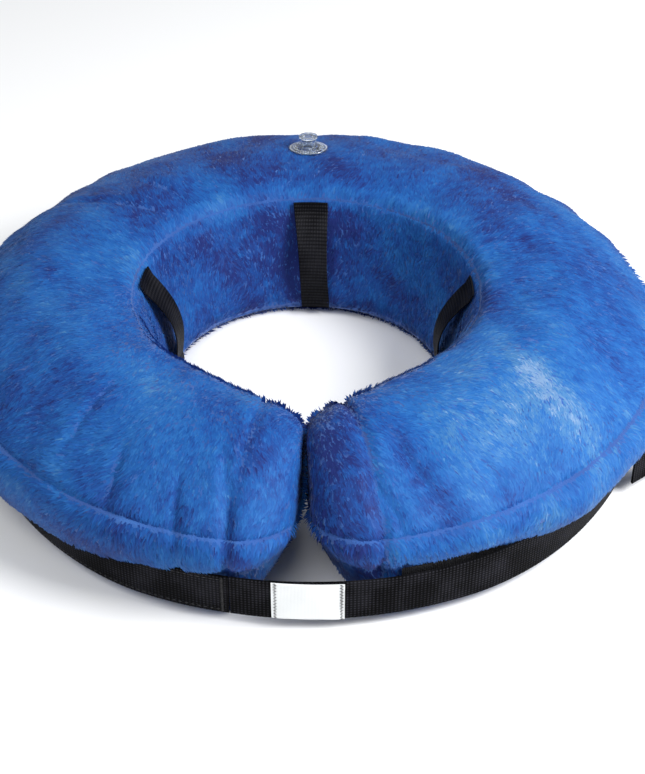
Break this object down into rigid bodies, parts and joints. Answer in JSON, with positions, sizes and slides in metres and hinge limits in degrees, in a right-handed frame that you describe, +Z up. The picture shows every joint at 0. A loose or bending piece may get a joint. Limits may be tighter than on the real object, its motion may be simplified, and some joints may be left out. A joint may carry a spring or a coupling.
{
  "type": "inflatable recovery collar",
  "caption": "Inflatable plush ring collar with a front gap, webbing closing strap with hook and loop tape, elastic collar loops and an air valve; worn in place of a cone.",
  "frame": {"origin": "on the ring's axis, at the plane that the collar rests on", "axes": "+Z up along the ring's axis, -Y towards the front gap, +Y towards the valve, +X to the wearer's side on which the closing strap laps over the loop tape"},
  "size_m": [0.4172, 0.4134, 0.0911],
  "materials": {
    "plush": "short plush pile, brushed",
    "bladder_film": "clear vinyl film",
    "elastic": "black woven elastic",
    "webbing": "black woven webbing",
    "hook_tape": "black hook tape",
    "loop_tape": "black brushed loop tape",
    "label": "white woven label, blank",
    "clear_vinyl": "clear soft vinyl",
    "zip_tape": "blue woven zip tape",
    "zip_coil": "blue nylon coil",
    "zip_metal": "plated zip metal"
  },
  "bodies": {
    "back": {"cover_top_back": "plush", "cover_inner_back": "plush", "cover_outer_back": "plush", "cover_bottom_back": "plush", "bladder_back": "bladder_film", "collar_loop_back": "elastic", "valve_eyelet": "webbing", "valve_flange": "clear_vinyl", "zip_tape_upper": "zip_tape", "zip_tape_lower": "zip_tape", "zip_coil_upper": "zip_coil", "zip_coil_lower": "zip_coil", "zip_stop_start": "zip_metal", "zip_stop_end": "zip_metal"},
    "right_arm": {"cover_top_right": "plush", "cover_inner_right": "plush", "cover_outer_right": "plush", "cover_bottom_right": "plush", "cover_end_right": "plush", "bladder_right": "bladder_film", "collar_loop_right": "elastic", "loop_tape_front": "loop_tape", "loop_tape_side": "loop_tape"},
    "left_arm": {"cover_top_left": "plush", "cover_inner_left": "plush", "cover_outer_left": "plush", "cover_bottom_left": "plush", "cover_end_left": "plush", "bladder_left": "bladder_film", "collar_loop_left": "elastic", "sewn_webbing": "webbing"},
    "strap": {"closing_strap": "webbing", "hook_tape": "hook_tape", "label": "label"},
    "tip": {"strap_tip": "webbing"},
    "stem": {"valve_stem": "clear_vinyl", "cap_tether": "clear_vinyl"},
    "cap": {"valve_cap": "clear_vinyl"},
    "flap": {"valve_flap": "clear_vinyl"},
    "slider": {"zip_slider": "zip_metal"},
    "puller": {"zip_puller": "zip_metal"}
  },
  "joints": [
    {"name": "right_arm_open", "type": "hinge", "parent": "back", "child": "right_arm", "pos_m": [0.13563, 0.16164, 0], "axis": [0, 0, 1], "range_deg": [0, 16], "stiffness_Nm_per_rad": 1.5},
    {"name": "left_arm_open", "type": "hinge", "parent": "back", "child": "left_arm", "pos_m": [-0.13563, 0.16164, 0], "axis": [0, 0, -1], "range_deg": [0, 16.5], "stiffness_Nm_per_rad": 1.5},
    {"name": "strap_open", "type": "hinge", "parent": "left_arm", "child": "strap", "pos_m": [-0.0378, -0.20033, 0], "axis": [0, 0, -1], "range_deg": [0, 98]},
    {"name": "tip_flex", "type": "hinge", "parent": "strap", "child": "tip", "pos_m": [0.18192, -0.09878, 0], "axis": [0, 0, -1], "range_deg": [-14, 60]},
    {"name": "stem_push", "type": "slide", "parent": "back", "child": "stem", "axis": [0, -0.1569, -0.9876], "range_m": [0, 0.0035], "deforming": ["cap_tether"]},
    {"name": "cap_open", "type": "hinge", "parent": "stem", "child": "cap", "pos_m": [0.0034, 0.14892, 0.08777], "axis": [0.866, 0.4938, -0.0785], "range_deg": [0, 110]},
    {"name": "flap_open", "type": "hinge", "parent": "stem", "child": "flap", "pos_m": [0, 0.15701, 0.07059], "axis": [1, 0, 0], "range_deg": [0, 60], "stiffness_Nm_per_rad": 0.0002},
    {"name": "zip_run", "type": "hinge", "parent": "back", "child": "slider", "pos_m": [0, 0, 0], "axis": [0, 0, 1], "range_deg": [0, 61]},
    {"name": "puller_swing", "type": "hinge", "parent": "slider", "child": "puller", "pos_m": [0.10824, 0.17703, 0], "axis": [0, 0, -1], "range_deg": [0, 165]}
  ],
  "couplings": [
    {"joint": "left_arm_open", "follows": "right_arm_open", "ratio": 1},
    {"joint": "strap_open", "follows": "right_arm_open", "ratio": 6}
  ]
}
